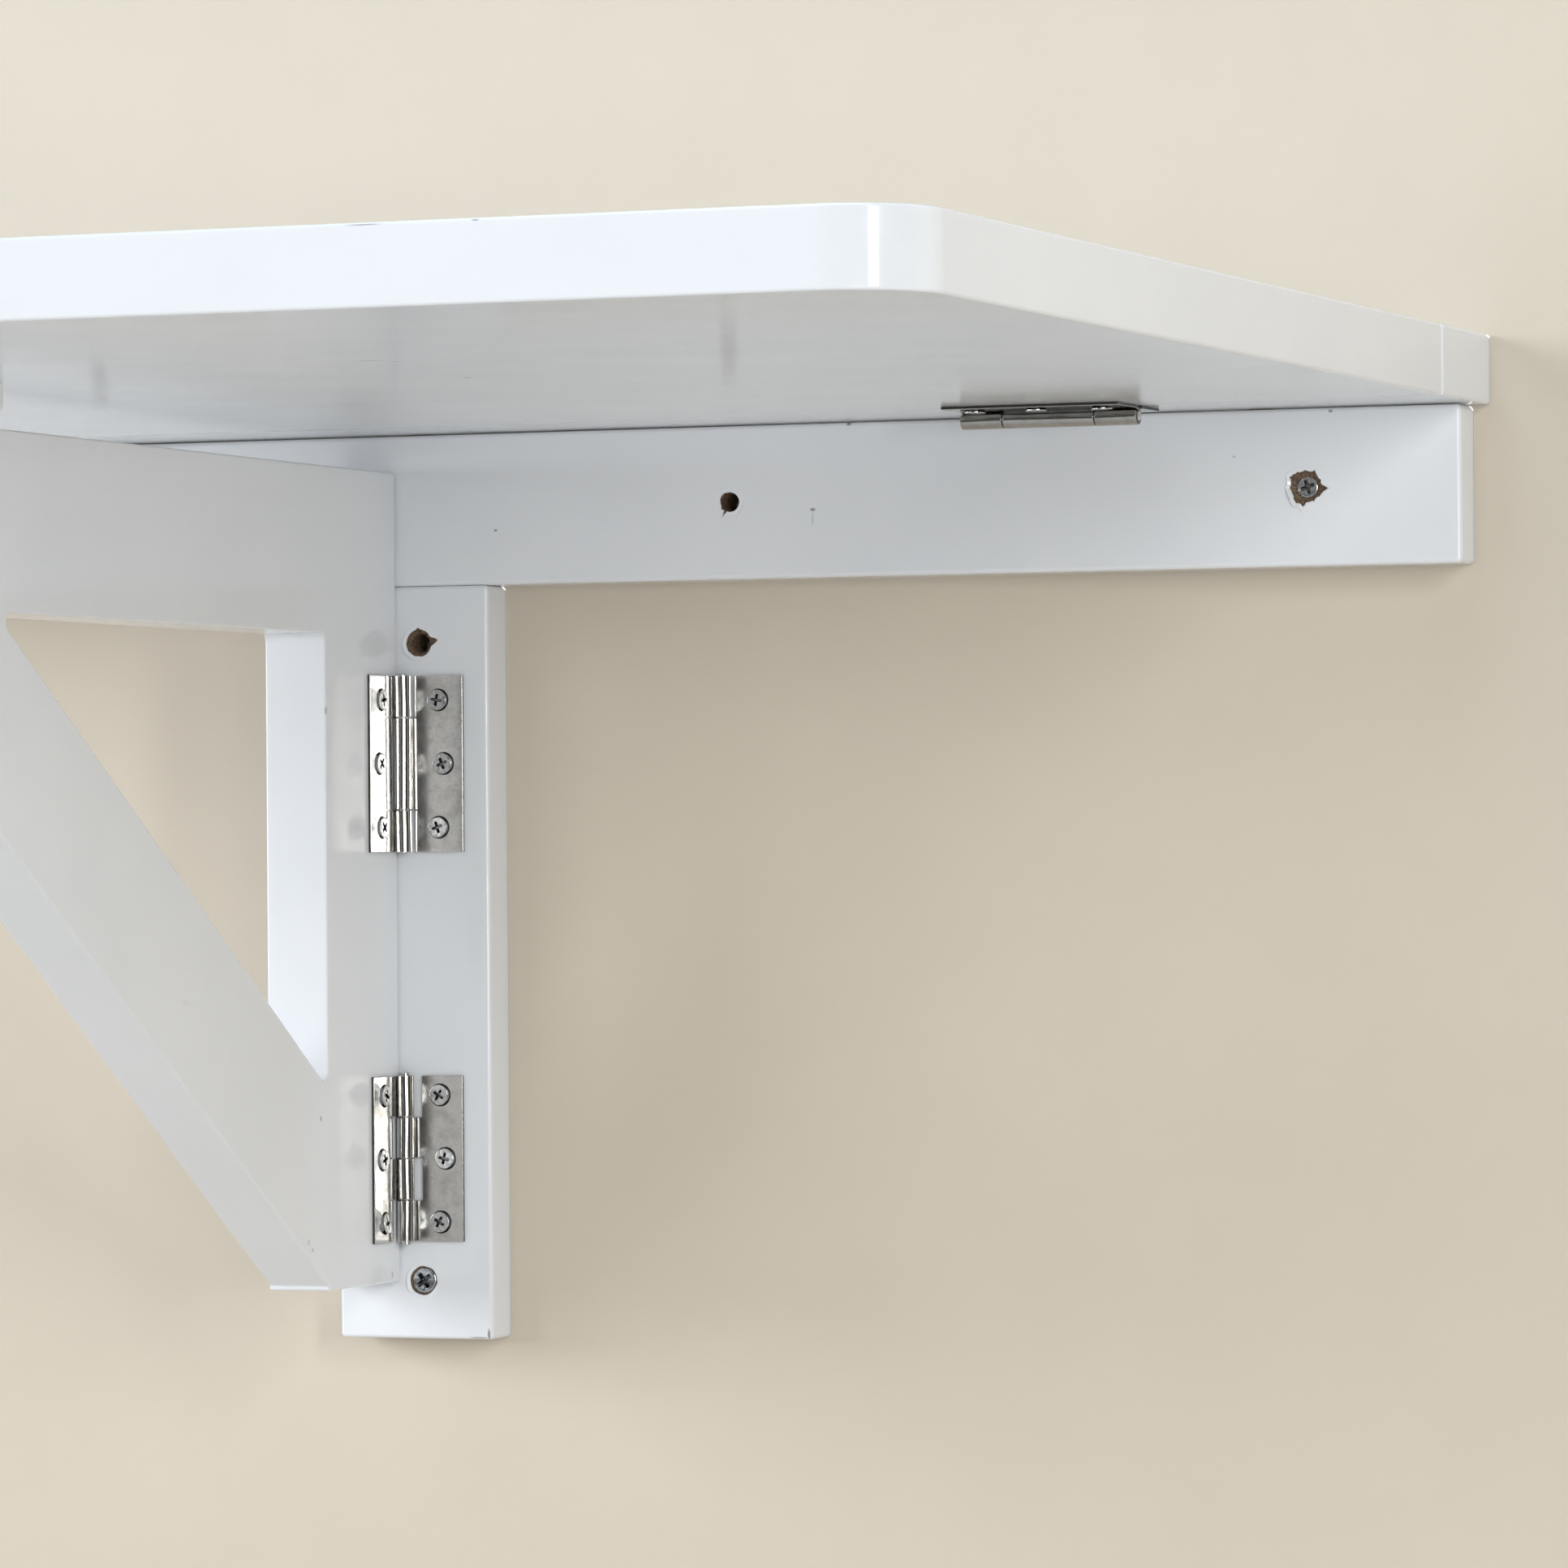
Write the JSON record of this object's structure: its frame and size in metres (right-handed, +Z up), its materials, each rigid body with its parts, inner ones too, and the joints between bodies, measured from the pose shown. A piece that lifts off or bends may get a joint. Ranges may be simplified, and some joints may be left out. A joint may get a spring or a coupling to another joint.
{
  "type": "wall mounted drop leaf table",
  "caption": "White wall-hung drop leaf table: a rail and post screwed to the wall, a narrow fixed shelf, a hinged leaf, and a triangular bracket that swings out to carry it.",
  "frame": {"origin": "on the wall plane, at the middle of the table's length, on the line of the rail's wall screws", "axes": "+X to the right along the wall as seen from the room, +Y into the wall, +Z up"},
  "size_m": [0.8, 0.5806, 0.351],
  "materials": {
    "white_paint": "gloss white paint over softwood board",
    "nickel_plate": "satin nickel plate",
    "pin_steel": "plain drawn wire",
    "screw_steel": "bright zinc plate",
    "bare_beech": "unpainted"
  },
  "bodies": {
    "wall_frame": {"wall_rail": "white_paint", "wall_post": "white_paint", "fixed_shelf": "white_paint", "shelf_dowels": "bare_beech", "upper_hinge_pin": "pin_steel", "lower_hinge_pin": "pin_steel", "left_hinge_pin": "pin_steel", "right_hinge_pin": "pin_steel", "upper_hinge_post_plate": "nickel_plate", "upper_hinge_post_screws": "screw_steel", "lower_hinge_post_plate": "nickel_plate", "lower_hinge_post_screws": "screw_steel", "left_hinge_shelf_plate": "nickel_plate", "left_hinge_shelf_screws": "screw_steel", "right_hinge_shelf_plate": "nickel_plate", "right_hinge_shelf_screws": "screw_steel"},
    "bracket": {"swing_bracket": "white_paint", "upper_hinge_bracket_plate": "nickel_plate", "upper_hinge_bracket_screws": "screw_steel", "lower_hinge_bracket_plate": "nickel_plate", "lower_hinge_bracket_screws": "screw_steel"},
    "leaf": {"table_leaf": "white_paint", "rest_block": "white_paint", "left_hinge_leaf_plate": "nickel_plate", "left_hinge_leaf_screws": "screw_steel", "right_hinge_leaf_plate": "nickel_plate", "right_hinge_leaf_screws": "screw_steel"}
  },
  "joints": [
    {"name": "bracket_swing", "type": "hinge", "parent": "wall_frame", "child": "bracket", "pos_m": [-0.002, -0.0218, -0.163], "axis": [0, 0, 1], "range_deg": [0, 90]},
    {"name": "leaf_drop", "type": "hinge", "parent": "wall_frame", "child": "leaf", "pos_m": [0, -0.0603, 0.0237], "axis": [1, 0, 0], "range_deg": [-1.2, 0]}
  ]
}
